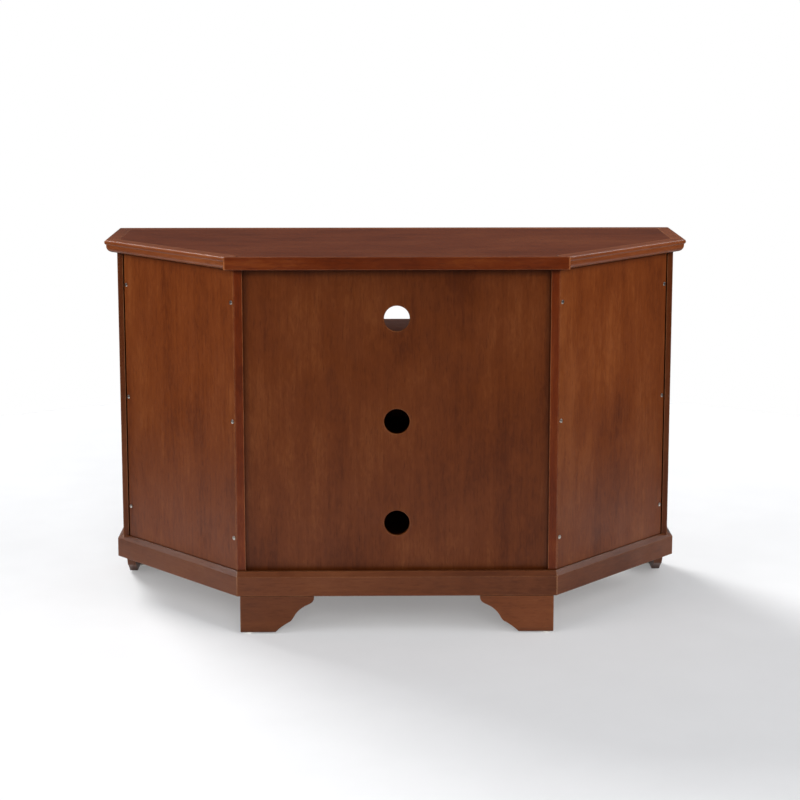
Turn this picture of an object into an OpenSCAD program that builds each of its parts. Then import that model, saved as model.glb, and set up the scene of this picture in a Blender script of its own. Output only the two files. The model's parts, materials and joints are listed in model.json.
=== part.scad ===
// Corner television cabinet: six-sided plan, open media bay over a two-door cupboard.
// Front (doors) faces -Y, back faces +Y, floor at z = 0. "left" and "right" are as seen from the front.

/* [Overall] */
// Width across the side returns of the top
top_w = 1219; // [1180:1:1260]
// Depth of the top, front edge to rear edge
top_d = 495; // [488:1:505]
// Height from the floor to the top surface
total_h = 762; // [750:1:790]
// Length of the rear edge of the top, between the two angled sides
rear_edge_w = 676; // [660:1:690]

/* [Top] */
// Thickness of the top
top_t = 26; // [24:1:30]
// How far the top stands out past the front and the sides
overhang = 27; // [22:1:30]
// How far the top stands out past the angled sides
angled_overhang = 25.5; // [22:0.5:28]
// How far the top stands out past the rear corner posts
rear_overhang = 17; // [14:1:20]
// Width of the moulded lipping round the top
lipping_w = 30; // [28:1:40]
// Width of the square lipping on the rear edge
rear_lipping_w = 12; // [8:1:20]
// Radius of the bullnose at the upper edge
bullnose_r = 5; // [3:0.5:6]
// Radius of the ovolo under the bullnose
ovolo_r = 13; // [10:0.5:14]
// Step between the bullnose and the ovolo
moulding_step = 3.6; // [2:0.2:5]

/* [Carcass] */
// Thickness of the side boards and the shelf boards
board_t = 18; // [15:1:20]
// Thickness of the two angled back panels
angled_t = 12; // [9:1:12]
// Thickness of the recessed back panel
back_t = 9; // [6:1:10]
// How far the back panel lies in front of the rear faces of the posts
back_recess = 9; // [6:1:12]
// Width of each post's rear face
post_face_w = 16; // [14:1:20]
// Width of the side board's rear edge that stays in view
side_tongue_w = 11.5; // [9:0.5:13]
// Open joint between that edge and the angled panel
shadow_gap = 2.5; // [1:0.5:4]
// Width of the stiles of the front frame
frame_stile_w = 45; // [40:1:50]
// Thickness of the front frame and of the doors
frame_t = 20; // [18:1:22]
// Height of the rail under the top
top_rail_h = 30; // [20:1:40]
// Height of the rail in front of the media shelf
shelf_rail_h = 36; // [30:1:45]
// Height of the media shelf's upper face
media_shelf_z = 561; // [550:1:575]
// Height of the cupboard floor's upper face
floor_z = 146.5; // [140:0.5:155]
// Radius of a cable hole
cable_hole_r = 25.4; // [20:0.1:30]
// Height of the lowest cable hole's centre
cable_hole_z = 221; // [210:1:230]
// Distance from one cable hole up to the next
cable_hole_pitch = 207.5; // [200:0.5:210]

/* [Base] */
// Height of the foot glides
glide_h = 3; // [2:0.5:5]
// Height of the plinth's lower edge above the floor
plinth_z = 78; // [70:1:85]
// Height of the plinth
plinth_h = 48.5; // [40:0.5:55]
// How far the plinth stands out past the front and the sides
plinth_proud = 13.5; // [12:0.5:16]
// Width of the bevel along the plinth's upper edge
bevel_w = 10; // [6:0.5:11]
// Height of that bevel
bevel_h = 9; // [5:0.5:12]
// Thickness of the bracket feet
foot_t = 18; // [15:1:20]
// Width of a bracket foot where it meets the plinth
foot_top_w = 148; // [140:1:160]
// Width of a bracket foot at the floor
foot_toe_w = 70; // [60:1:76]

/* [Doors] */
// Gap round each door
door_gap = 3; // [2.6:0.2:4]
// Width of the door stiles, rails and mullion
door_member_w = 60; // [50:1:65]
// Thickness of a panel's tongue
tongue_t = 6; // [5:0.5:7]
// Depth of the grooves that hold the panels
groove_d = 8; // [6:0.5:10]
// Radius of the knob
knob_r = 15; // [12:0.5:17]

/* [Hidden] */
$fn = 48;

LEFT = -1;
RIGHT = 1;
mahogany = [0.42, 0.19, 0.10];
red_edge = [0.36, 0.12, 0.05];
inner_wood = [0.33, 0.16, 0.10];
brass = [0.62, 0.48, 0.24];
steel = [0.62, 0.62, 0.62];
plastic = [0.20, 0.13, 0.10];
nylon = [0.88, 0.87, 0.84];

diag = sqrt(2);
front_y = -top_d / 2;
rear_y = top_d / 2;
top_z = total_h - top_t;

// Six-sided plans. "sum" is x + y along the 45 degree side, which fixes that side's place.
top_sum = rear_edge_w / 2 + rear_y;
body_hw = top_w / 2 - overhang;
body_front = front_y + overhang;
body_rear = rear_y - rear_overhang;
body_sum = top_sum - angled_overhang * diag;
inner_sum = body_sum - angled_t * diag;
plinth_sum = body_sum + (plinth_proud - 1) * diag;
frame_back = body_front + frame_t;
inner_hw = body_hw - board_t;
back_out = body_rear - back_recess;
back_in = back_out - back_t;
post_in = body_sum - body_rear - post_face_w;

plinth_top = plinth_z + plinth_h;
foot_h = plinth_z - glide_h;
opening_hw = body_hw - frame_stile_w;
shelf_rail_z = media_shelf_z - shelf_rail_h;
media_under = media_shelf_z - board_t;
ease = 0.8;

// Posts: a nib closes the end of the angled panel, which bears on a 45 degree face
nib_w = 3;
bearing_w = 34;
groove_in_post = 5;
post_corner = [body_sum - body_rear, body_rear];
nib_end = post_corner + nib_w / diag * [1, -1];
rabbet_end = nib_end - angled_t / diag * [1, 1];
bearing_end = rabbet_end + bearing_w / diag * [1, -1];

// Side board and the far end of the angled panel
tongue_x = body_hw - side_tongue_w;
panel_far_x = tongue_x - shadow_gap;
side_rear_y = body_sum - tongue_x;
inner_corner = [inner_hw, inner_sum - inner_hw];

// Adjustable shelf and its pins
shelf_clear = 3;
shelf_t = 15;
shelf_rest_z = 330;
pin_r = 2.45;
pin_hole_r = 2.5;
pin_out = 10;
pin_in = 8;
pin_pitch = 32;
pin_steps = 2;
pin_gap = 0.3;
pin_z = shelf_rest_z - pin_gap - pin_r;
pin_ys = [-150, -85];
post_pin_y = bearing_end.y + 8;

// Doors
door_lo_z = floor_z + door_gap;
door_hi_z = shelf_rail_z - door_gap;
door_h = door_hi_z - door_lo_z;
door_near_x = door_gap / 2;
door_far_x = opening_hw - door_gap;
door_w = door_far_x - door_near_x;
tongue_y = body_front + (frame_t - tongue_t) / 2;
panel_slack = 0.5;
panel_open_w = (door_w - 3 * door_member_w) / 2;
panel_open_h = door_h - 2 * door_member_w;
field_margin = 34;
field_sink = 1.5;
bevel_rise = 3;

// Butt hinges
hinge_h = 60;
hinge_x = opening_hw - door_gap / 2;
knuckle_r = 4;
knuckle_out = 4.5;
hinge_y = body_front - knuckle_out;
hinge_pin_r = 1.8;
hinge_bore_r = 1.86;
leaf_t = 1.25;
leaf_w = 17.5;
knuckle_gap = 0.3;
hinge_zs = [door_lo_z + 30, door_hi_z - 30 - hinge_h];

// Screws: pan heads on a plain shank
screw_head_r = 4;
screw_head_h = 1.9;
screw_shank_r = 1.75;
screw_l = 21;
screw_zs = [192, 430, 669];

function six_sided(hw, yf, yr, sum) =
  [[-hw, yf], [hw, yf], [hw, sum - hw], [sum - yr, yr], [yr - sum, yr], [-hw, sum - hw]];

function arc(centre, r, from, to, steps = 8) =
  [for (i = [0:steps]) let (a = from + (to - from) * i / steps) centre + r * [cos(a), sin(a)]];

function bezier(p, t) =
  pow(1 - t, 3) * p[0] + 3 * pow(1 - t, 2) * t * p[1] + 3 * (1 - t) * t * t * p[2] + t * t * t * p[3];

function bezier_run(p, steps = 5) = [for (i = [1:steps]) bezier(p, i / steps)];

top_plan = six_sided(top_w / 2, front_y, rear_y, top_sum);
top_core_plan = six_sided(
  top_w / 2 - lipping_w, front_y + lipping_w, rear_y - rear_lipping_w, top_sum - lipping_w * diag
);
body_plan = six_sided(body_hw, body_front, body_rear, body_sum);
plinth_plan = six_sided(body_hw + plinth_proud, body_front - plinth_proud, rear_y, plinth_sum);

// Section of the moulded lipping: u runs inwards from the outermost line, z up from the underside
notch_drop = sqrt(bullnose_r * bullnose_r - pow(bullnose_r - moulding_step, 2));
bullnose_z = top_t - bullnose_r;
notch_angle = 180 + asin(notch_drop / bullnose_r);
moulding_section = concat(
  [[lipping_w + 10, 0], [lipping_w + 10, top_t]],
  arc([bullnose_r, bullnose_z], bullnose_r, 90, 180),
  arc([bullnose_r, bullnose_z], bullnose_r, 190, notch_angle, 5),
  arc([moulding_step + ovolo_r, ovolo_r], ovolo_r, 180, 270)
);
square_section = [
  [ease, 0], [rear_lipping_w + 10, 0], [rear_lipping_w + 10, top_t], [ease, top_t], [0, top_t - ease],
  [0, ease]
];
plinth_section = [
  [ease, 0], [rear_overhang + 10, 0], [rear_overhang + 10, plinth_h], [bevel_w, plinth_h],
  [0, plinth_h - bevel_h], [0, ease]
];

// Outline of a bracket foot: p runs from the outer edge towards the middle, q up from the toe
toe = foot_toe_w;
nose = foot_top_w;
knee = [toe + 30, foot_h * 0.29];
waist = [toe + 44.5, foot_h * 0.56];
brow = [nose - 10, foot_h * 0.77];
foot_outline = concat(
  [[0, foot_h], [0, 0], [toe, 0]],
  bezier_run([[toe, 0], [toe + 10, foot_h * 0.13], [toe + 22, foot_h * 0.24], knee]),
  bezier_run([knee, knee + [5.5, 4], waist - [8, 9], waist]),
  bezier_run([waist, waist + [7, 8], brow - [8, 3.5], brow]),
  bezier_run([brow, brow + [6.5, 3], [nose, foot_h * 0.87], [nose, foot_h * 0.95]]),
  [[nose, foot_h]]
);

// ---- helpers ----

// Draws its children for the right side, or mirrored for the left side
module handed(side) {
  mirror([side < 0 ? 1 : 0, 0, 0]) children();
}

// One mitred length of a section that runs round a six-sided plan
module wrap_strip(outer, inner, i, section, z, h) {
  j = (i + 1) % 6;
  a = outer[i];
  b = outer[j];
  intersection() {
    translate([0, 0, z - 1]) linear_extrude(h + 2) polygon([a, b, inner[j], inner[i]]);
    translate([a.x, a.y, z])
      rotate([0, 0, atan2(b.y - a.y, b.x - a.x)])
        rotate([90, 0, 90]) translate([0, 0, -5]) linear_extrude(norm(b - a) + 10) polygon(section);
  }
}

module plate(x0, x1, y0, y1, z0, z1) {
  translate([x0, y0, z0]) cube([x1 - x0, y1 - y0, z1 - z0]);
}

module post_plan() {
  polygon([
    [post_in, body_rear], post_corner, nib_end, rabbet_end, bearing_end, [post_in, bearing_end.y],
    [post_in, back_in], [post_in + groove_in_post, back_in], [post_in + groove_in_post, back_out],
    [post_in, back_out]
  ]);
}

module cleat_plan() {
  polygon([
    inner_corner, inner_corner + [0, -bearing_w], inner_corner + bearing_w / diag * [-1, 1]
  ]);
}

module side_plan() {
  polygon([
    [inner_hw, frame_back], [body_hw, frame_back], [body_hw, side_rear_y], [tongue_x, side_rear_y],
    [tongue_x, inner_sum - tongue_x], inner_corner
  ]);
}

// A board that fills the carcass between the front frame and the back panels
module carcass_board(z) {
  difference() {
    translate([0, 0, z]) linear_extrude(board_t)
      polygon(six_sided(inner_hw, frame_back, back_in, inner_sum));
    for (side = [LEFT, RIGHT]) handed(side) translate([0, 0, z - 1]) linear_extrude(board_t + 2) {
      post_plan();
      cleat_plan();
    }
  }
}

module upright(z0 = plinth_z, z1 = top_z) {
  translate([0, 0, z0]) linear_extrude(z1 - z0) children();
}

// Screw with its head's underside at z = 0 and the head above it
module screw(l) {
  difference() {
    union() {
      rotate_extrude() polygon(concat(
        [[0, 0], [screw_head_r, 0], [screw_head_r, screw_head_h * 0.4]],
        [[screw_head_r * 0.78, screw_head_h * 0.82], [screw_head_r * 0.4, screw_head_h], [0, screw_head_h]]
      ));
      translate([0, 0, -l]) cylinder(h = l, r = screw_shank_r);
    }
    for (turn = [0, 90]) rotate([0, 0, turn])
      translate([-2.2, -0.45, screw_head_h - 1.1]) cube([4.4, 0.9, 2]);
  }
}

// ---- top ----

module top_board() {
  color(mahogany) translate([0, 0, top_z]) linear_extrude(top_t) polygon(top_core_plan);
}

module top_moulding(i) {
  color(mahogany) wrap_strip(top_plan, top_core_plan, i, moulding_section, top_z, top_t);
}

module top_lipping_rear() {
  color(red_edge) wrap_strip(top_plan, top_core_plan, 3, square_section, top_z, top_t);
}

// Battens that hold the top down: one along each side board and one along the back
batten = 20;
side_batten_y = [-185, -95];
back_batten_hw = 280;

module top_cleats() {
  color(inner_wood) {
    for (side = [LEFT, RIGHT]) handed(side)
      plate(inner_hw - batten, inner_hw, side_batten_y[0], side_batten_y[1], top_z - batten, top_z);
    plate(-back_batten_hw, back_batten_hw, back_in - batten, back_in, top_z - batten, top_z);
  }
}

// ---- carcass ----

module side_board(side) {
  color(mahogany) handed(side) difference() {
    upright() side_plan();
    for (y = pin_ys, step = [-pin_steps:pin_steps])
      translate([inner_hw - 1, y, pin_z + step * pin_pitch])
        rotate([0, 90, 0]) cylinder(h = pin_in + 2, r = pin_hole_r, $fn = 24);
  }
}

module rear_post(side) {
  color(red_edge) handed(side) difference() {
    upright() post_plan();
    for (step = [-pin_steps:pin_steps])
      translate([post_in - 1, post_pin_y, pin_z + step * pin_pitch])
        rotate([0, 90, 0]) cylinder(h = pin_in + 2, r = pin_hole_r, $fn = 24);
  }
}

// Stop batten behind the line where the doors meet, clear of the doors and of the loose shelf
stop_hw = 15;
stop_t = 9.5;
stop_gap = 0.5;

// Cleats in the two far corners, and the stop batten between the cupboard floor and the media shelf
module upright_cleats() {
  color(inner_wood) {
    for (side = [LEFT, RIGHT]) handed(side) upright() cleat_plan();
    plate(-stop_hw, stop_hw, frame_back + stop_gap, frame_back + stop_gap + stop_t, floor_z, media_under);
  }
}

module back_panel() {
  half = post_in + groove_in_post - 0.2;
  color(mahogany) difference() {
    plate(-half, half, back_in, back_out, plinth_z, top_z);
    for (i = [0:2]) translate([0, back_in - 1, cable_hole_z + i * cable_hole_pitch])
      rotate([-90, 0, 0]) cylinder(h = back_t + 2, r = cable_hole_r, $fn = 72);
  }
}

module angled_back(side) {
  color(mahogany) handed(side) upright() polygon([
    nib_end, rabbet_end, [panel_far_x, inner_sum - panel_far_x], [panel_far_x, body_sum - panel_far_x]
  ]);
}

module media_shelf() {
  color(mahogany) carcass_board(media_under);
}

module cupboard_floor() {
  color(inner_wood) carcass_board(floor_z - board_t);
}

// The loose shelf is cut back from the cleats and the posts so that it lifts out
module adjustable_shelf() {
  hw = inner_hw - shelf_clear;
  slope = inner_sum - shelf_clear * diag;
  cleat_y = inner_corner.y - bearing_w - shelf_clear;
  cut_x = inner_corner.x - bearing_w / diag - shelf_clear;
  rear = back_in - shelf_clear;
  front = frame_back + 12;
  color(inner_wood) translate([0, 0, shelf_rest_z]) linear_extrude(shelf_t) polygon([
    [-hw, front], [hw, front], [hw, cleat_y], [cut_x, slope - cut_x],
    [slope - bearing_end.y + shelf_clear, bearing_end.y - shelf_clear],
    [post_in - shelf_clear, bearing_end.y - shelf_clear],
    [post_in - shelf_clear, rear], [shelf_clear - post_in, rear],
    [shelf_clear - post_in, bearing_end.y - shelf_clear],
    [bearing_end.y - shelf_clear - slope, bearing_end.y - shelf_clear],
    [-cut_x, slope - cut_x], [-hw, cleat_y]
  ]);
}

module shelf_pins() {
  color(steel) for (side = [LEFT, RIGHT]) handed(side) {
    for (y = pin_ys) translate([inner_hw - pin_out, y, pin_z])
      rotate([0, 90, 0]) cylinder(h = pin_out + pin_in, r = pin_r, $fn = 24);
    translate([post_in - pin_out, post_pin_y, pin_z])
      rotate([0, 90, 0]) cylinder(h = pin_out + pin_in, r = pin_r, $fn = 24);
  }
}

// ---- front frame ----

module front_stile(side) {
  color(mahogany) handed(side)
    plate(opening_hw, body_hw, body_front, frame_back, plinth_z, top_z);
}

module front_rail(z0, z1) {
  color(mahogany) plate(-opening_hw, opening_hw, body_front, frame_back, z0, z1);
}

// ---- base ----

module plinth(i) {
  color(mahogany) difference() {
    wrap_strip(plinth_plan, body_plan, i, plinth_section, plinth_z, plinth_h);
    for (side = [LEFT, RIGHT]) handed(side)
      plate(tongue_x, body_hw, frame_back, side_rear_y, plinth_z - 1, plinth_top + 1);
  }
}

rear_foot_x = 314;
rear_foot_y = rear_y - 1.5;
front_foot_x = body_hw + plinth_proud - 5;
front_foot_y = body_front - plinth_proud + 2;

// A bracket foot as a plate: outer edge at the origin, body towards -X, outer face on y = 0
module bracket() {
  rotate([90, 0, 0]) mirror([1, 0, 0]) linear_extrude(foot_t) polygon(foot_outline);
}

module rear_foot(side) {
  color(mahogany) handed(side) translate([rear_foot_x, rear_foot_y, glide_h]) bracket();
}

// Plan of the front foot's two plates, which meet in a mitre at the corner
module mitre_half(front) {
  near = [front_foot_x, front_foot_y];
  far = near + 300 * [-1, 1];
  translate([0, 0, glide_h - 1]) linear_extrude(foot_h + 2)
    polygon([near, far, front ? [far.x, near.y] : [near.x, far.y]]);
}

module front_foot(side) {
  color(mahogany) handed(side) intersection() {
    translate([front_foot_x, front_foot_y + foot_t, glide_h]) bracket();
    mitre_half(true);
  }
}

module front_foot_returns() {
  color(mahogany) for (side = [LEFT, RIGHT]) handed(side) intersection() {
    translate([front_foot_x, front_foot_y, glide_h]) rotate([0, 0, -90]) bracket();
    mitre_half(false);
  }
}

block = 32;
block_x = rear_foot_x - 14;
block_toe = 16;

module foot_blocks() {
  color(inner_wood) for (side = [LEFT, RIGHT]) handed(side) {
    plate(block_x - block, block_x, rear_foot_y - foot_t - block, rear_foot_y - foot_t,
      glide_h + block_toe, plinth_z);
    plate(front_foot_x - foot_t - block, front_foot_x - foot_t, front_foot_y + foot_t,
      front_foot_y + foot_t + block, glide_h + block_toe, plinth_z);
  }
}

glide_r = 11;
glide_inset = [15, 12];

module foot_glides() {
  rear_at = [rear_foot_x, rear_foot_y] - glide_inset;
  front_at = [front_foot_x - foot_t * 0.9, front_foot_y + foot_t * 0.9];
  color(nylon) for (side = [LEFT, RIGHT], at = [rear_at, front_at])
    handed(side) translate([at.x, at.y, 0]) rotate_extrude()
      polygon([[0, 0], [glide_r - 1, 0], [glide_r, 1], [glide_r, glide_h], [0, glide_h]]);
}

// ---- fasteners ----

near_screw = nib_end + 6.5 / diag * [1, -1];
far_screw = [panel_far_x, body_sum - panel_far_x] + 6.5 / diag * [-1, 1];

module wood_screws() {
  color(steel) for (side = [LEFT, RIGHT]) handed(side) {
    for (at = [near_screw, far_screw], z = screw_zs)
      translate([at.x, at.y, z]) rotate([0, 90, 45]) screw(screw_l);
    for (y = [side_batten_y[0] + 15, side_batten_y[1] - 15])
      translate([inner_hw - batten / 2, y, top_z - batten]) rotate([180, 0, 0]) screw(batten + 14);
    translate([back_batten_hw / 2, back_in - batten / 2, top_z - batten])
      rotate([180, 0, 0]) screw(batten + 14);
  }
}

catch_x = [18, 58];
catch_h = 42;
strike_t = 0.8;
catch_gap = 0.3;
catch_face = frame_back + strike_t + catch_gap;

module magnetic_catches() {
  color(plastic) for (side = [LEFT, RIGHT]) handed(side) difference() {
    plate(catch_x[0], catch_x[1], catch_face, catch_face + 18, media_under - catch_h, media_under);
    plate(catch_x[0] + 8, catch_x[1] - 8, catch_face - 1, catch_face + 10,
      media_under - catch_h + 16, media_under - 4);
  }
}

module strike(side) {
  color(steel) handed(side) plate(catch_x[0] + 4, catch_x[1] - 4, frame_back, frame_back + strike_t,
    media_under - catch_h + 1, media_under - catch_h + 15);
}

// ---- hinges ----

module knuckle(z, h) {
  translate([hinge_x, hinge_y, z]) cylinder(h = h, r = knuckle_r);
}

module hinge_bore(z) {
  translate([hinge_x, hinge_y, z - 1]) cylinder(h = hinge_h + 2, r = hinge_bore_r);
}

knuckle_h = (hinge_h - 2 * knuckle_gap) / 3;
middle_z = knuckle_h + knuckle_gap;

module hinge_frame_leaves() {
  color(brass) for (side = [LEFT, RIGHT], z = hinge_zs) handed(side) difference() {
    union() {
      plate(opening_hw - leaf_t, opening_hw, body_front, body_front + leaf_w, z, z + hinge_h);
      for (zk = [z, z + hinge_h - knuckle_h]) {
        plate(opening_hw - leaf_t, opening_hw, hinge_y + 2, body_front + 1, zk, zk + knuckle_h);
        knuckle(zk, knuckle_h);
      }
    }
    hinge_bore(z);
  }
}

module door_hinge_leaves(side) {
  color(brass) handed(side) for (z = hinge_zs) difference() {
    union() {
      plate(door_far_x, door_far_x + leaf_t, body_front, body_front + leaf_w, z, z + hinge_h);
      plate(door_far_x, door_far_x + leaf_t, hinge_y + 2, body_front + 1, z + middle_z,
        z + middle_z + knuckle_h);
      knuckle(z + middle_z, knuckle_h);
    }
    hinge_bore(z);
  }
}

module hinge_pins() {
  color(brass) for (side = [LEFT, RIGHT], z = hinge_zs) handed(side) translate([hinge_x, hinge_y, z])
    rotate_extrude() polygon([
      [0, -3], [1.6, -2.6], [2.6, -1.4], [2.6, -0.1], [hinge_pin_r, -0.1],
      [hinge_pin_r, hinge_h + 0.1], [2.6, hinge_h + 0.1], [2.6, hinge_h + 1.4],
      [1.6, hinge_h + 2.6], [0, hinge_h + 3]
    ]);
}

// ---- doors ----

module panel_groove(x0, x1, z0, z1) {
  plate(x0, x1, tongue_y, tongue_y + tongue_t, z0, z1);
}

knob_x = door_near_x + door_member_w / 2;
knob_z = door_lo_z + door_h / 2;
knob_screw_r = 2;

module door_hinge_stile(side) {
  x0 = door_far_x - door_member_w;
  color(mahogany) handed(side) difference() {
    plate(x0, door_far_x, body_front, frame_back, door_lo_z, door_hi_z);
    panel_groove(x0 - 1, x0 + groove_d, door_lo_z - 1, door_hi_z + 1);
  }
}

module door_lock_stile(side) {
  x1 = door_near_x + door_member_w;
  color(mahogany) handed(side) difference() {
    plate(door_near_x, x1, body_front, frame_back, door_lo_z, door_hi_z);
    panel_groove(x1 - groove_d, x1 + 1, door_lo_z - 1, door_hi_z + 1);
    translate([knob_x, body_front - 1, knob_z]) rotate([-90, 0, 0])
      cylinder(h = frame_t + 2, r = knob_screw_r + 0.1);
  }
}

// A rail between the stiles, with stub tenons in their grooves and its own groove for the panels
module door_rail(side, z, groove_z) {
  x0 = door_near_x + door_member_w;
  x1 = door_far_x - door_member_w;
  color(mahogany) handed(side) difference() {
    union() {
      plate(x0, x1, body_front, frame_back, z, z + door_member_w);
      panel_groove(x0 - groove_d, x1 + groove_d, z, z + door_member_w);
    }
    panel_groove(x0 - groove_d - 1, x1 + groove_d + 1, groove_z - groove_d, groove_z + groove_d);
  }
}

module door_mullion(side) {
  x0 = door_near_x + door_member_w + panel_open_w;
  x1 = x0 + door_member_w;
  z0 = door_lo_z + door_member_w;
  z1 = door_hi_z - door_member_w;
  color(mahogany) handed(side) difference() {
    union() {
      plate(x0, x1, body_front, frame_back, z0, z1);
      panel_groove(x0 + groove_d, x1 - groove_d, z0 - groove_d, z1 + groove_d);
    }
    panel_groove(x0 - 1, x0 + groove_d, z0 - 1, z1 + 1);
    panel_groove(x1 - groove_d, x1 + 1, z0 - 1, z1 + 1);
  }
}

// Section of a raised and fielded panel of width w: tongue, sloping margin, step, flat field
function fielded(w) = let (
  back = tongue_y + tongue_t,
  slope_end = tongue_y - bevel_rise,
  field = body_front + field_sink
) [
  [0, back], [0, tongue_y], [groove_d + 1, tongue_y], [field_margin, slope_end],
  [field_margin + 1, field], [w - field_margin - 1, field], [w - field_margin, slope_end],
  [w - groove_d - 1, tongue_y], [w, tongue_y], [w, back]
];

module fielded_panel(x0, z0, w, h) {
  intersection() {
    translate([x0, 0, z0 - 1]) linear_extrude(h + 2) polygon(fielded(w));
    translate([x0 - 1, 0, z0]) rotate([90, 0, 90]) linear_extrude(w + 2)
      polygon([for (p = fielded(h)) [p.y, p.x]]);
  }
}

module door_panels(side) {
  w = panel_open_w + 2 * (groove_d - panel_slack);
  h = panel_open_h + 2 * (groove_d - panel_slack);
  z0 = door_lo_z + door_member_w - groove_d + panel_slack;
  color(mahogany) handed(side) for (i = [0, 1])
    fielded_panel(
      door_near_x + door_member_w + i * (panel_open_w + door_member_w) - groove_d + panel_slack, z0, w, h
    );
}

knob_out = 25;
knob_crown_r = 4;
rose_r = 14;
knob_profile = concat(
  [[0, 0], [rose_r, 0], [rose_r, 1.2], [rose_r - 1.4, 1.6], [rose_r - 1.8, 2.8], [8, 3.4]],
  [[5.4, 6], [5, 9], [6.2, 11.5], [10, 13]],
  arc([knob_r - knob_crown_r, 17.2], knob_crown_r, -60, 60),
  [[9, 22.6], [5, 24.2], [0, knob_out]]
);
knob_screw_gap = 0.3;

// Knob on a stepped rose, and the separate screw that holds it from inside the door
module door_knob(side) {
  color(brass) handed(side) translate([knob_x, body_front, knob_z]) rotate([90, 0, 0]) {
    rotate_extrude() polygon(knob_profile);
    translate([0, 0, -frame_t]) {
      rotate([180, 0, 0]) rotate_extrude() polygon([[0, 0], [4.5, 0], [4.3, 1.1], [3, 1.9], [0, 2.3]]);
      cylinder(h = frame_t - knob_screw_gap, r = knob_screw_r);
    }
  }
}

top_board();
top_moulding(0);  // top_moulding_front
top_moulding(1);  // top_moulding_right
top_moulding(2);  // top_moulding_angled_right
top_lipping_rear();
top_moulding(4);  // top_moulding_angled_left
top_moulding(5);  // top_moulding_left
side_board(LEFT);  // side_board_left
side_board(RIGHT);  // side_board_right
rear_post(LEFT);  // rear_post_left
rear_post(RIGHT);  // rear_post_right
upright_cleats();
back_panel();
angled_back(LEFT);  // angled_back_left
angled_back(RIGHT);  // angled_back_right
media_shelf();
cupboard_floor();
adjustable_shelf();
shelf_pins();
front_stile(LEFT);  // front_stile_left
front_stile(RIGHT);  // front_stile_right
front_rail(top_z - top_rail_h, top_z);  // front_top_rail
front_rail(shelf_rail_z, media_shelf_z);  // front_shelf_rail
front_rail(plinth_z, floor_z);  // front_bottom_rail
plinth(0);  // plinth_front
plinth(1);  // plinth_right
plinth(2);  // plinth_angled_right
plinth(3);  // plinth_rear
plinth(4);  // plinth_angled_left
plinth(5);  // plinth_left
rear_foot(LEFT);  // rear_foot_left
rear_foot(RIGHT);  // rear_foot_right
front_foot(LEFT);  // front_foot_left
front_foot(RIGHT);  // front_foot_right
front_foot_returns();
foot_blocks();
foot_glides();
top_cleats();
wood_screws();
magnetic_catches();
hinge_frame_leaves();
hinge_pins();
door_hinge_stile(LEFT);  // left_door_hinge_stile
door_lock_stile(LEFT);  // left_door_lock_stile
door_rail(LEFT, door_hi_z - door_member_w, door_hi_z - door_member_w);  // left_door_top_rail
door_rail(LEFT, door_lo_z, door_lo_z + door_member_w);  // left_door_bottom_rail
door_mullion(LEFT);  // left_door_mullion
door_panels(LEFT);  // left_door_panels
door_hinge_leaves(LEFT);  // left_door_hinge_leaves
door_knob(LEFT);  // left_door_knob
strike(LEFT);  // left_door_strike
door_hinge_stile(RIGHT);  // right_door_hinge_stile
door_lock_stile(RIGHT);  // right_door_lock_stile
door_rail(RIGHT, door_hi_z - door_member_w, door_hi_z - door_member_w);  // right_door_top_rail
door_rail(RIGHT, door_lo_z, door_lo_z + door_member_w);  // right_door_bottom_rail
door_mullion(RIGHT);  // right_door_mullion
door_panels(RIGHT);  // right_door_panels
door_hinge_leaves(RIGHT);  // right_door_hinge_leaves
door_knob(RIGHT);  // right_door_knob
strike(RIGHT);  // right_door_strike
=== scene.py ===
"""Looks for the corner television cabinet: lacquered wood, brass and steel, in a plain studio.

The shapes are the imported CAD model's. Every length is in metres, in its frame: the front faces -Y, the back
faces +Y, and the floor is z = 0.
"""
import json
import math
from collections import namedtuple

import bmesh
import bpy
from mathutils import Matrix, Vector


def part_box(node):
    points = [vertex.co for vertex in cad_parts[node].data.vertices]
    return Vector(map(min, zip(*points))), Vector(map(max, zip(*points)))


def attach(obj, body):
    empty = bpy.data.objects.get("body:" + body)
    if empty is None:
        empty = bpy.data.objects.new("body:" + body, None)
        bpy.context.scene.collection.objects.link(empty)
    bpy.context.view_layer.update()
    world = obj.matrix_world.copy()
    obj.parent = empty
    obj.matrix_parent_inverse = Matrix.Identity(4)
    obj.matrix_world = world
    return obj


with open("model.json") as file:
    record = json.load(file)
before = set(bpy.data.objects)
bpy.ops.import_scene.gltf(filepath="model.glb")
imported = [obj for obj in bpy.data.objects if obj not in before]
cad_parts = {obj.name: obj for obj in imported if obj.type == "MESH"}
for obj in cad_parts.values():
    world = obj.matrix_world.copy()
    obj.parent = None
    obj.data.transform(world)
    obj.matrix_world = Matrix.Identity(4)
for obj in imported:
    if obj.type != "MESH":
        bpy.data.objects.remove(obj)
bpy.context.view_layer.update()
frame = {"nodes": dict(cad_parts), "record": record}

NODES = frame["nodes"]
SLOT_OF = {part["node"]: part["material_slot"] for part in frame["record"]["subparts"]}


# ---------------------------------------------------------------- node graphs

# Sockets of the Mix node in its colour form
MIX_FACTOR, MIX_A, MIX_B = 0, 6, 7
MIX_RESULT = 2


def colour(red, green, blue):
    return (red, green, blue, 1.0)


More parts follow.
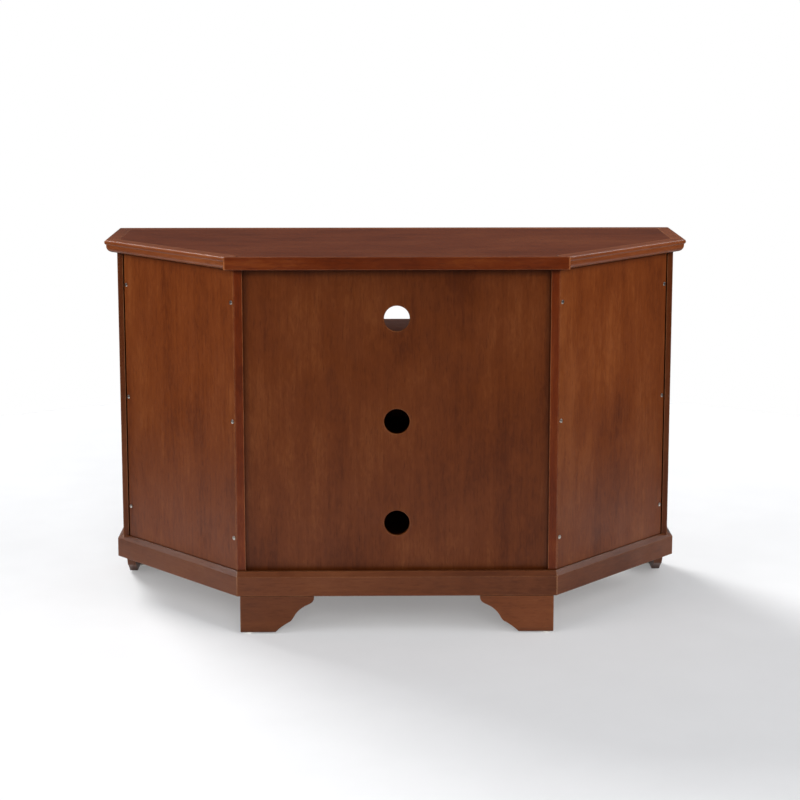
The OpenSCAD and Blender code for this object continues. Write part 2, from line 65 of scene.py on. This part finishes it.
class Graph:
    """A material's node tree, with short calls for the nodes that the finishes share."""

    def __init__(self, name):
        self.material = bpy.data.materials.new(name)
        self.material.use_nodes = True
        self.tree = self.material.node_tree
        self.tree.nodes.clear()
        self.output = self.add("ShaderNodeOutputMaterial")

    def add(self, kind, inputs=None, **settings):
        """Adds a node. A value in inputs is set on the socket, or linked if it is another node's socket."""
        node = self.tree.nodes.new(kind)
        for key, value in settings.items():
            setattr(node, key, value)
        for key, value in (inputs or {}).items():
            if isinstance(value, bpy.types.NodeSocket):
                self.tree.links.new(value, node.inputs[key])
            else:
                node.inputs[key].default_value = value
        return node

    def position(self, turn=0.0, stretch=(1, 1, 1), offset=(0, 0, 0)):
        """Object coordinates, turned about Z, then stretched and moved."""
        here = self.add("ShaderNodeTexCoord").outputs["Object"]
        turned = self.add("ShaderNodeVectorRotate", {"Vector": here, "Angle": -turn}, rotation_type="Z_AXIS")
        placed = self.add("ShaderNodeVectorMath", {0: turned.outputs[0], 1: stretch, 2: offset},
                          operation="MULTIPLY_ADD")
        return placed.outputs[0]

    def noise(self, vector, scale, detail=2.0, roughness=0.5, distortion=0.0):
        node = self.add("ShaderNodeTexNoise", {
            "Vector": vector, "Scale": scale, "Detail": detail, "Roughness": roughness,
            "Distortion": distortion,
        })
        return node.outputs["Fac"]

    def ramp(self, value, low, high, to_low=0.0, to_high=1.0):
        """Maps low..high to to_low..to_high, smoothly and clamped."""
        node = self.add("ShaderNodeMapRange", {
            "Value": value, "From Min": low, "From Max": high, "To Min": to_low, "To Max": to_high,
        }, interpolation_type="SMOOTHSTEP")
        return node.outputs["Result"]

    def math(self, operation, a, b):
        return self.add("ShaderNodeMath", {0: a, 1: b}, operation=operation).outputs[0]

    def mix(self, factor, a, b):
        node = self.add("ShaderNodeMix", {MIX_FACTOR: factor, MIX_A: a, MIX_B: b}, data_type="RGBA")
        return node.outputs[MIX_RESULT]

    def bump(self, height, strength, distance, normal=None):
        inputs = {"Height": height, "Strength": strength, "Distance": distance}
        if normal is not None:
            inputs["Normal"] = normal
        return self.add("ShaderNodeBump", inputs).outputs["Normal"]

    def arris_mask(self, radius, low, high):
        """1 on the arrises and 0 on the flats."""
        rounded = self.add("ShaderNodeBevel", {"Radius": radius}, samples=4).outputs["Normal"]
        flat = self.add("ShaderNodeNewGeometry").outputs["Normal"]
        same = self.add("ShaderNodeVectorMath", {0: rounded, 1: flat}, operation="DOT_PRODUCT")
        return self.ramp(same.outputs["Value"], high, low)

    def painted_shade(self, reach, low, high):
        """Painted shade from ambient occlusion: 1 deep in a corner, a recess or a joint, 0 in the open."""
        node = self.add("ShaderNodeAmbientOcclusion", {"Distance": reach}, samples=6)
        return self.ramp(node.outputs["AO"], high, low)

    def finish(self, **inputs):
        """Closes the graph with one Principled shader, whose sockets are named with _ for a space."""
        sockets = {key.replace("_", " "): value for key, value in inputs.items()}
        shader = self.add("ShaderNodeBsdfPrincipled", sockets)
        self.tree.links.new(shader.outputs[0], self.output.inputs["Surface"])
        return self.material


# ---------------------------------------------------------------- wood

# Three tones of the stain, then the sheen, and how strongly the figure shows
Finish = namedtuple("Finish", "shadow body lit roughness reflectance coat figure")
WOOD = {
    "top_veneer": Finish(
        (0.064, 0.0130, 0.0034), (0.092, 0.0200, 0.0052), (0.122, 0.0310, 0.0090), 0.54, 0.14, 0.0, 0.8),
    # The mouldings' paler stain is partly painted light, standing in for the light their rounded faces catch
    "moulding_wood": Finish(
        (0.095, 0.0215, 0.0050), (0.155, 0.0385, 0.0098), (0.220, 0.0660, 0.0200), 0.36, 0.30, 0.08, 0.7),
    "edge_lacquer": Finish(
        (0.060, 0.0090, 0.0014), (0.096, 0.0155, 0.0023), (0.150, 0.0330, 0.0062), 0.36, 0.24, 0.06, 1.0),
    "panel_veneer": Finish(
        (0.062, 0.0130, 0.0026), (0.098, 0.0225, 0.0044), (0.140, 0.0385, 0.0092), 0.37, 0.22, 0.06, 1.0),
    "frame_wood": Finish(
        (0.060, 0.0120, 0.0025), (0.094, 0.0210, 0.0044), (0.130, 0.0335, 0.0084), 0.36, 0.28, 0.10, 0.9),
    "door_panel_veneer": Finish(
        (0.060, 0.0125, 0.0025), (0.098, 0.0225, 0.0044), (0.138, 0.0375, 0.0092), 0.36, 0.28, 0.10, 1.0),
    "base_wood": Finish(
        (0.062, 0.0155, 0.0042), (0.094, 0.0255, 0.0072), (0.130, 0.0405, 0.0130), 0.38, 0.24, 0.06, 0.8),
    "inner_wood": Finish(
        (0.045, 0.0110, 0.0035), (0.070, 0.0180, 0.0060), (0.095, 0.0290, 0.0110), 0.50, 0.22, 0.0, 0.8),
}
LACQUER_IOR = 1.46
COAT_ROUGHNESS = 0.22
# Stain gathered in the pores, and painted shade in the corners and joints
PORE_TONE = (0.022, 0.004, 0.001)
PAINTED_SHADE_TONE = (0.020, 0.0035, 0.0008)
PORE_DEPTH = 0.42
PAINTED_SHADE_DEPTH = 0.75
# Along the arrises the lit tone is scaled by the first triple and lifted by the second: worn lacquer and a
# painted highlight
WORN_HIGHLIGHT_SCALE = (1.9, 2.6, 3.2)
WORN_HIGHLIGHT_LIFT = (0.04, 0.03, 0.022)
WORN_HIGHLIGHT = 0.8
# Boards lighter or darker than the rest of their kind; on the angled back panels it is painted light
TINT = {
    "angled_back_left": 1.22, "angled_back_right": 1.30, "back_panel": 0.98, "rear_foot_left": 1.35,
    "plinth_rear": 1.10, "plinth_angled_left": 1.18, "plinth_angled_right": 1.18,
    "side_board_left": 0.80, "side_board_right": 0.80,
}
UP = "up"
# Grain direction in plan, in degrees from +X; a node that isn't listed has upright grain
GRAIN = {
    "top_board": 0, "top_moulding_front": 0, "top_lipping_rear": 0,
    "top_moulding_left": 90, "top_moulding_right": 90,
    "top_moulding_angled_right": -45, "top_moulding_angled_left": 45,
    "media_shelf": 0, "cupboard_floor": 0, "adjustable_shelf": 0, "top_cleats": 90,
    "front_top_rail": 0, "front_shelf_rail": 0, "front_bottom_rail": 0,
    "plinth_front": 0, "plinth_rear": 0, "plinth_left": 90, "plinth_right": 90,
    "plinth_angled_right": -45, "plinth_angled_left": 45,
    "rear_foot_left": 0, "rear_foot_right": 0, "front_foot_left": 0, "front_foot_right": 0,
    "front_foot_returns": 90,
    "left_door_top_rail": 0, "left_door_bottom_rail": 0,
    "right_door_top_rail": 0, "right_door_bottom_rail": 0,
}
# How far the grain, the curl across it and the broad clouds are drawn out along the board
ALONG = 0.045
RIPPLED = 0.30
CLOUDED = 0.5
# How far the figure moves from one board to the next
BOARD_STEP = (0.37, 0.61, 0.23)
# The noises of the figure, the paler arrises and the sheen: scale, detail, roughness and distortion of each
CLOUD = (5.5, 3.0, 0.5, 0.0)
BLOTCH = (15.0, 2.0, 0.5, 0.4)
GROWTH = (30.0, 4.0, 0.62, 0.35)
CURL = (150.0, 2.0, 0.55, 0.9)
RIPPLE = (190.0, 3.0, 0.6, 0.15)
FIBRE = (900.0, 2.0, 0.6, 0.0)
EDGE_BREAKUP = (46.0, 3.0, 0.5, 0.0)
SMEAR = (13.0, 3.0, 0.5, 0.8)
WAVE = (30.0, 1.0, 0.5, 0.0)
# How much each layer moves the tone
CLOUD_WEIGHT = 0.62
BLOTCH_WEIGHT = 0.38
GROWTH_WEIGHT = 0.34
RIPPLE_WEIGHT = 0.26
CURL_WEIGHT = 0.34
MEAN_NOISE = 0.5
# The tone's range over which the stain turns from shadow to body, and from body to lit
SHADOW_TO_BODY = (0.26, 0.52)
BODY_TO_LIT = (0.48, 0.78)
# A pore opens where the fibre falls from the first value to the second
PORE_OPENS = (0.40, 0.30)
# Reach of the paler arris: worn lacquer and a painted highlight. It is full where the rounded normal
# agrees with the flat one by the first value of the range, and gone from the second. The breakup range
# is how it comes and goes along the arris.
EDGE_PALE_REACH = 0.0034
EDGE_PALE_RANGE = (0.82, 0.985)
EDGE_BREAKUP_RANGE = (0.34, 0.62, 0.40, 1.0)
# Reach of the painted shade out of a corner, and how open a place is where it is full and where it is gone
PAINTED_SHADE_REACH = 0.024
PAINTED_SHADE_RANGE = (0.40, 0.86)
# How the polish varies: smears either side of the finish's roughness, and duller pores
SMEAR_TURN = 0.6
SMEAR_RANGE = (0.30, 0.72)
SMEAR_SHINIER = 0.05
SMEAR_DULLER = 0.07
PORE_DULLER = 0.14
# Strength and depth of the grain's relief, and of the slow waves in the board's face
GRAIN_RELIEF = (0.30, 0.0004)
WAVE_RELIEF = (0.18, 0.0012)


def wood(name, slot, grain, board, tint):
    """Stained and lacquered mahogany, with painted shade in its corners and a painted highlight on its
    arrises.

    grain is UP or an angle in plan, board is the board's number, and tint scales the stain.
    """
    kind = WOOD[slot]
    shadow, body, lit = (
        colour(*(channel * tint for channel in tone)) for tone in (kind.shadow, kind.body, kind.lit))
    g = Graph(name)
    turn = 0.0 if grain == UP else math.radians(grain)
    drawn_by, rippled_by, clouded_by = (
        (1, 1, length) if grain == UP else (length, 1, 1) for length in (ALONG, RIPPLED, CLOUDED))
    offset = tuple(step * board for step in BOARD_STEP)
    drawn = g.position(turn, drawn_by, offset)
    broad = g.position(turn, clouded_by, offset)

    cloud = g.noise(broad, *CLOUD)
    blotch = g.noise(broad, *BLOTCH)
    growth = g.noise(drawn, *GROWTH)
    curl = g.noise(g.position(turn, rippled_by, offset), *CURL)
    ripple = g.noise(drawn, *RIPPLE)
    fibre = g.noise(drawn, *FIBRE)
    pores = g.ramp(fibre, *PORE_OPENS)

    tone = g.math("ADD", g.math("MULTIPLY", cloud, CLOUD_WEIGHT), g.math("MULTIPLY", blotch, BLOTCH_WEIGHT))
    for layer, weight in ((growth, GROWTH_WEIGHT), (ripple, RIPPLE_WEIGHT), (curl, CURL_WEIGHT)):
        swing = g.math("MULTIPLY", g.math("SUBTRACT", layer, MEAN_NOISE), weight * kind.figure)
        tone = g.math("ADD", tone, swing)
    stain_and_painted_light = g.mix(g.ramp(tone, *SHADOW_TO_BODY), shadow, body)
    stain_and_painted_light = g.mix(g.ramp(tone, *BODY_TO_LIT), stain_and_painted_light, lit)
    stain_and_painted_light = g.mix(g.math("MULTIPLY", pores, PORE_DEPTH), stain_and_painted_light, colour(*PORE_TONE))

    # The arrises are paler: worn lacquer, and a painted highlight for the light that they catch
    arris_zone = g.arris_mask(EDGE_PALE_REACH, *EDGE_PALE_RANGE)
    wear_and_highlight = g.math("MULTIPLY", arris_zone, g.ramp(g.noise(g.position(), *EDGE_BREAKUP), *EDGE_BREAKUP_RANGE))
    edge_tone = colour(*(
        channel * scale + lift for channel, scale, lift in zip(lit, WORN_HIGHLIGHT_SCALE, WORN_HIGHLIGHT_LIFT)))
    stain_and_painted_light = g.mix(g.math("MULTIPLY", wear_and_highlight, WORN_HIGHLIGHT), stain_and_painted_light, edge_tone)
    # Painted shade darkens the corners, recesses and joints
    painted_shade = g.painted_shade(PAINTED_SHADE_REACH, *PAINTED_SHADE_RANGE)
    stain_and_painted_light = g.mix(g.math("MULTIPLY", painted_shade, PAINTED_SHADE_DEPTH), stain_and_painted_light, colour(*PAINTED_SHADE_TONE))

    smear = g.noise(g.position(SMEAR_TURN, (1, 1, 1), offset), *SMEAR)
    gloss = g.ramp(smear, *SMEAR_RANGE, kind.roughness - SMEAR_SHINIER, kind.roughness + SMEAR_DULLER)
    gloss = g.math("ADD", gloss, g.math("MULTIPLY", pores, PORE_DULLER))

    relief = g.math("ADD", g.math("MULTIPLY", ripple, 0.5), g.math("MULTIPLY", fibre, 0.5))
    relief = g.math("SUBTRACT", relief, g.math("MULTIPLY", pores, 0.5))
    normal = g.bump(relief, *GRAIN_RELIEF)
    normal = g.bump(g.noise(broad, *WAVE), *WAVE_RELIEF, normal)
    return g.finish(
        Base_Color=stain_and_painted_light, Roughness=gloss, Normal=normal, IOR=LACQUER_IOR,
        Specular_IOR_Level=kind.reflectance, Coat_Weight=kind.coat, Coat_Roughness=COAT_ROUGHNESS)


# ---------------------------------------------------------------- metal and plastic

# The arris mask's range for a metal or plastic arris
RUB_FINE = (0.80, 0.985)
# Depth of the marks in a metal's or plastic's skin
SKIN_DEPTH = 0.0002


def brass(name):
    """Aged, lacquered brass: browned in the hollows and rubbed bright on the edges."""
    brown, yellow, edge_tone = colour(0.20, 0.115, 0.035), colour(0.46, 0.30, 0.105), colour(0.72, 0.52, 0.24)
    g = Graph(name)
    tarnish = g.noise(g.position(), 130.0, detail=5.0, roughness=0.6, distortion=0.6)
    tone = g.mix(g.ramp(tarnish, 0.36, 0.66), brown, yellow)
    tone = g.mix(g.math("MULTIPLY", g.arris_mask(0.0008, *RUB_FINE), 0.7), tone, edge_tone)
    brushed = g.noise(g.position(stretch=(1, 1, 8)), 700.0)
    gloss = g.ramp(tarnish, 0.3, 0.7, 0.38, 0.22)
    return g.finish(Base_Color=tone, Metallic=1.0, Roughness=gloss, Normal=g.bump(brushed, 0.12, SKIN_DEPTH))


def steel(name):
    """Bright zinc plate with faint spangle and handling marks."""
    dull, bright, edge_tone = colour(0.52, 0.49, 0.44), colour(0.84, 0.80, 0.73), colour(0.9, 0.9, 0.9)
    g = Graph(name)
    spangle = g.add("ShaderNodeTexVoronoi", {"Vector": g.position(), "Scale": 900.0}).outputs["Distance"]
    smudge = g.noise(g.position(), 240.0, detail=4.0, roughness=0.6)
    tone = g.mix(g.ramp(smudge, 0.35, 0.65), dull, bright)
    tone = g.mix(g.math("MULTIPLY", g.arris_mask(0.0005, *RUB_FINE), 0.5), tone, edge_tone)
    gloss = g.ramp(smudge, 0.3, 0.7, 0.46, 0.32)
    return g.finish(Base_Color=tone, Metallic=1.0, Roughness=gloss, Normal=g.bump(spangle, 0.08, SKIN_DEPTH))


def moulded(name, base, dusty, rough):
    """Moulded plastic: fine spark-eroded texture, a little dust, rubbed edges."""
    g = Graph(name)
    dust = g.noise(g.position(), 60.0, detail=4.0, roughness=0.6)
    tone = g.mix(g.ramp(dust, 0.42, 0.75), base, dusty)
    tone = g.mix(g.math("MULTIPLY", g.arris_mask(0.0006, *RUB_FINE), 0.5), tone, dusty)
    skin = g.noise(g.position(), 2600.0)
    gloss = g.ramp(dust, 0.3, 0.75, rough, rough + 0.15)
    return g.finish(Base_Color=tone, Roughness=gloss, Normal=g.bump(skin, 0.15, SKIN_DEPTH))


# The finish of each material slot that isn't wood
PLAIN = {
    "brass": brass("aged_brass"),
    "steel": steel("zinc_plate"),
    "catch_plastic": moulded("catch_plastic", colour(0.060, 0.034, 0.024), colour(0.13, 0.10, 0.08), 0.42),
    "glide_nylon": moulded("glide_nylon", colour(0.72, 0.71, 0.66), colour(0.52, 0.49, 0.43), 0.45),
}


# ---------------------------------------------------------------- finish of the CAD nodes

# Width of an eased arris, and of the finer one where a board lies flush with its neighbours
ARRIS = 0.0015
FLUSH_ARRIS = 0.0004
FLUSH = ("top_board",)
# Boards inside the carcass whose edges were left square
SQUARE = ("media_shelf", "cupboard_floor", "upright_cleats")
WELD_GAP = 1e-6
# Faces closer than the first angle are one flat face, and edges sharper than the second are arrises
FLAT_WITHIN = math.radians(0.4)
ARRIS_FROM = math.radians(28)


def ease(node, width):
    """Rounds a board's arrises and shades it smoothly. The vertices of the CAD mesh stay where they are."""
    mesh = node.data
    for name in ("custom_normal", "sharp_edge", "sharp_face"):
        if name in mesh.attributes:
            mesh.attributes.remove(mesh.attributes[name])
    mesh.shade_smooth()
    weld = node.modifiers.new("weld", "WELD")
    weld.merge_threshold = WELD_GAP
    planes = node.modifiers.new("planes", "DECIMATE")
    planes.decimate_type = "DISSOLVE"
    planes.angle_limit = FLAT_WITHIN
    arris = node.modifiers.new("arris", "BEVEL")
    arris.width = width
    arris.segments = 2
    arris.limit_method = "ANGLE"
    arris.angle_limit = ARRIS_FROM
    arris.miter_outer = "MITER_ARC"
    flats = node.modifiers.new("flats", "WEIGHTED_NORMAL")
    flats.weight = 90
    flats.keep_sharp = False


for board, (name, node) in enumerate(NODES.items()):
    slot = SLOT_OF[name]
    if slot in WOOD:
        finish = wood(f"{slot}.{name}", slot, GRAIN.get(name, UP), board, TINT.get(name, 1.0))
        if name not in SQUARE:
            ease(node, FLUSH_ARRIS if name in FLUSH else ARRIS)
    else:
        finish = PLAIN[slot]
    for material_slot in node.material_slots:
        material_slot.material = finish


# ---------------------------------------------------------------- hinge screws

SCREW_R = 0.0031
SCREW_PROUD = 0.00014
SCREW_CHAMFER = 0.00045
SLOT_W = 0.0009
HEAD_STEPS = 14
# The rings of a head, from the one sunk in the leaf to the rim of its face: radius, and height over the leaf
HEAD_RINGS = (
    (SCREW_R, -SCREW_PROUD),
    (SCREW_R, SCREW_PROUD * 0.4),
    (SCREW_R - SCREW_CHAMFER, SCREW_PROUD),
)
# Each screw stopped at its own angle, in degrees
SLOT_TILTS = (14, 71, 102, 38, 155, 87)
# Each leaf's face stands this far from the plane through the pin, and its screws this far from its rear edge
LEAF_FACE = 0.00025
SCREW_INSET = 0.0072
# Heights of the screws over the lower hinge's foot, and their depths under the upper hinge's head
SCREW_STEPS = (0.010, 0.030, 0.050)


def half_head(bm, at, out, across, tilt):
    """One half of a countersunk slotted head, as a closed solid lying on a face that looks along out."""
    up = Vector((0, 0, 1))
    side = up.cross(out)
    rings = []
    for radius, lift in HEAD_RINGS:
        start = math.asin(SLOT_W / 2 / radius)
        ring = []
        for k in range(HEAD_STEPS + 1):
            angle = tilt + across + start + (math.pi - 2 * start) * k / HEAD_STEPS
            point = at + out * lift + radius * (math.cos(angle) * side + math.sin(angle) * up)
            ring.append(bm.verts.new(point))
        rings.append(ring)
    for lower, upper in zip(rings, rings[1:]):
        for k in range(HEAD_STEPS + 1):
            after = (k + 1) % (HEAD_STEPS + 1)
            bm.faces.new((lower[k], lower[after], upper[after], upper[k]))
    bm.faces.new(rings[-1])
    bm.faces.new(reversed(rings[0]))


def hinge_screws(body, sides, outwards):
    """Three slotted brass screws in each leaf that the body carries.

    sides pairs each door's label with the sign of its x. outwards is +1 where the screws look away from
    x = 0, and -1 where they look towards it.
    """
    bm = bmesh.new()
    count = 0
    for label, side in sides:
        low, high = (Vector(corner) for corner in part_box(f"{label}_door_hinge_leaves"))
        out = Vector((side * outwards, 0, 0))
        pin_x = (low.x + high.x) / 2
        face_x = pin_x - out.x * LEAF_FACE
        for step in SCREW_STEPS:
            for z in (low.z + step, high.z - step):
                tilt = math.radians(SLOT_TILTS[count % len(SLOT_TILTS)])
                count += 1
                for across in (0.0, math.pi):
                    half_head(bm, Vector((face_x, high.y - SCREW_INSET, z)), out, across, tilt)
    bmesh.ops.recalc_face_normals(bm, faces=bm.faces)
    mesh = bpy.data.meshes.new(f"{body}_hinge_screws")
    bm.to_mesh(mesh)
    bm.free()
    mesh.materials.append(PLAIN["brass"])
    obj = bpy.data.objects.new(f"{body}_hinge_screws", mesh)
    bpy.context.collection.objects.link(obj)
    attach(obj, body)


hinge_screws("carcass", (("left", -1), ("right", 1)), -1)
hinge_screws("left_door", (("left", -1),), 1)
hinge_screws("right_door", (("right", 1),), 1)


# ---------------------------------------------------------------- floor

FLOOR_R = 2.1
FLOOR_SIDES = 96
FLOOR_TONES = (colour(0.61, 0.61, 0.61), colour(0.625, 0.625, 0.625))
# Lifts the floor just enough for its rim to be as white as the backdrop
FLOOR_GLOW = 0.222
# What the wood mirrors of the floor fades between these distances from the middle of the cabinet
MIRRORED_TO = 1.1
UNSEEN_FROM = 1.75
UNSEEN_TONE = colour(0.04, 0.04, 0.045)


def floor():
    """A round pale floor. Its rim is as bright as the backdrop, so it has no visible edge.

    What polished wood mirrors of it fades out away from the cabinet, like a sweep that is lit only round its
    subject.
    """
    rim = []
    for k in range(FLOOR_SIDES):
        angle = math.tau * k / FLOOR_SIDES
        rim.append((FLOOR_R * math.cos(angle), FLOOR_R * math.sin(angle), 0))
    mesh = bpy.data.meshes.new("floor")
    mesh.from_pydata(rim, [], [tuple(range(FLOOR_SIDES))])
    obj = bpy.data.objects.new("floor", mesh)
    bpy.context.collection.objects.link(obj)
    g = Graph("pale_floor")
    mottle = g.noise(g.position(), 7.0, detail=3.0)
    tone = g.mix(g.ramp(mottle, 0.3, 0.7), *FLOOR_TONES)
    distance = g.add("ShaderNodeVectorMath", {0: g.position()}, operation="LENGTH").outputs["Value"]
    mirrored = g.add("ShaderNodeLightPath").outputs["Is Glossy Ray"]
    faded = g.math("MULTIPLY", g.ramp(distance, MIRRORED_TO, UNSEEN_FROM), mirrored)
    tone = g.mix(faded, tone, UNSEEN_TONE)
    glow = g.mix(faded, colour(1, 1, 1), colour(0, 0, 0))
    mesh.materials.append(g.finish(Base_Color=tone, Roughness=0.9, Specular_IOR_Level=0.1,
                                   Emission_Color=glow, Emission_Strength=FLOOR_GLOW))


floor()


# ---------------------------------------------------------------- light

# Each sun: the heading in plan that its light travels in, its elevation, its strength and its apparent size,
# with angles in degrees. The key and the fills light the room, and polished surfaces don't mirror them.
ROOM_SUNS = {
    "key": ((-0.59, 0.81), 32, 3.4, 26),
    "fill_back": ((0.1, -1.0), 22, 1.5, 36),
    "fill_right": ((-0.88, -0.47), 25, 1.0, 44),
    "fill_left": ((0.88, -0.47), 25, 1.0, 44),
}
# The gleams are only mirrored: they draw the bright line along each eased arris
GLEAMS = {
    "gleam_right": ((-0.77, 0.64), 47, 1.2, 18),
    "gleam_left": ((0.77, 0.64), 47, 1.2, 18),
}
# A spotlight grazes each angled back panel; the places are for the side of +X
GRAZE_FROM = (1.35, 1.10, 1.25)
GRAZE_AT = (0.45, 0.10, 0.70)
GRAZE_POWER = 40.0
GRAZE_SPREAD = 32
GRAZE_SIZE = 0.12
GRAZE_TINT = (1.0, 0.88, 0.76)


def aim(obj, ray):
    """Turns a light or a camera to look along ray, and links it."""
    obj.rotation_mode = "QUATERNION"
    obj.rotation_quaternion = ray.to_track_quat("-Z", "Y")
    bpy.context.collection.objects.link(obj)


def sun(name, towards, height, strength, size):
    """A large soft light from far away."""
    data = bpy.data.lights.new(name, "SUN")
    data.energy = strength
    data.angle = math.radians(size)
    obj = bpy.data.objects.new(name, data)
    plan = Vector((*towards, 0)).normalized() * math.cos(math.radians(height))
    aim(obj, Vector((plan.x, plan.y, -math.sin(math.radians(height)))))
    return obj


def graze(name, side):
    """A soft spotlight that falls off down an upright panel."""
    data = bpy.data.lights.new(name, "SPOT")
    data.energy = GRAZE_POWER
    data.spot_size = math.radians(GRAZE_SPREAD)
    data.spot_blend = 1.0
    data.shadow_soft_size = GRAZE_SIZE
    data.color = GRAZE_TINT
    obj = bpy.data.objects.new(name, data)
    mirror = Vector((side, 1, 1))
    obj.location = Vector(GRAZE_FROM) * mirror
    aim(obj, (Vector(GRAZE_AT) - Vector(GRAZE_FROM)) * mirror)
    obj.visible_glossy = False


for name, settings in ROOM_SUNS.items():
    sun(name, *settings).visible_glossy = False
for name, settings in GLEAMS.items():
    sun(name, *settings).visible_diffuse = False
graze("graze_left", -1)
graze("graze_right", 1)


# ---------------------------------------------------------------- studio

# The room that lights the cabinet and is mirrored in it, from the horizon up to overhead
ROOM_LOW = colour(0.055, 0.056, 0.062)
ROOM_HIGH = colour(0.42, 0.44, 0.48)
ROOM_DARK_TO = 0.28
ROOM_BRIGHT_FROM = 0.85


def studio():
    """A white backdrop for the camera, and a dimmer, slightly blue room for light and reflections."""
    world = bpy.data.worlds.new("studio")
    world.use_nodes = True
    tree = world.node_tree
    tree.nodes.clear()
    seen = tree.nodes.new("ShaderNodeBackground")
    seen.inputs["Color"].default_value = colour(1, 1, 1)
    heading = tree.nodes.new("ShaderNodeTexCoord")
    parts = tree.nodes.new("ShaderNodeSeparateXYZ")
    tree.links.new(heading.outputs["Generated"], parts.inputs[0])
    rise = tree.nodes.new("ShaderNodeMapRange")
    rise.inputs["From Min"].default_value = ROOM_DARK_TO
    rise.inputs["From Max"].default_value = ROOM_BRIGHT_FROM
    tree.links.new(parts.outputs["Z"], rise.inputs["Value"])
    shades = tree.nodes.new("ShaderNodeMix")
    shades.data_type = "RGBA"
    shades.inputs[MIX_A].default_value = ROOM_LOW
    shades.inputs[MIX_B].default_value = ROOM_HIGH
    tree.links.new(rise.outputs["Result"], shades.inputs[MIX_FACTOR])
    room = tree.nodes.new("ShaderNodeBackground")
    tree.links.new(shades.outputs[MIX_RESULT], room.inputs["Color"])
    path = tree.nodes.new("ShaderNodeLightPath")
    mix = tree.nodes.new("ShaderNodeMixShader")
    out = tree.nodes.new("ShaderNodeOutputWorld")
    tree.links.new(path.outputs["Is Camera Ray"], mix.inputs[0])
    tree.links.new(room.outputs[0], mix.inputs[1])
    tree.links.new(seen.outputs[0], mix.inputs[2])
    tree.links.new(mix.outputs[0], out.inputs["Surface"])
    bpy.context.scene.world = world
    bpy.context.scene.view_settings.view_transform = "Standard"


studio()


# ---------------------------------------------------------------- camera

SENSOR_W = 36.0
LENS = 80.0
SHIFT_Y = -0.15
FARTHEST = 200.0
CAMERA_AT = (0.0357, 3.671, 1.221)
# How far the view turns from straight ahead along -Y, and how far it looks down
CAMERA_TURN = math.radians(0.695)
CAMERA_DIP = math.radians(8.38)


def camera():
    """Behind the cabinet and a little above it, looking slightly down at its back."""
    data = bpy.data.cameras.new("camera")
    data.sensor_width = SENSOR_W
    data.lens = LENS
    data.shift_y = SHIFT_Y
    data.clip_end = FARTHEST
    obj = bpy.data.objects.new("camera", data)
    obj.location = CAMERA_AT
    ahead = -math.cos(CAMERA_DIP)
    aim(obj, Vector((math.sin(CAMERA_TURN) * ahead, math.cos(CAMERA_TURN) * ahead, -math.sin(CAMERA_DIP))))
    bpy.context.scene.camera = obj


camera()
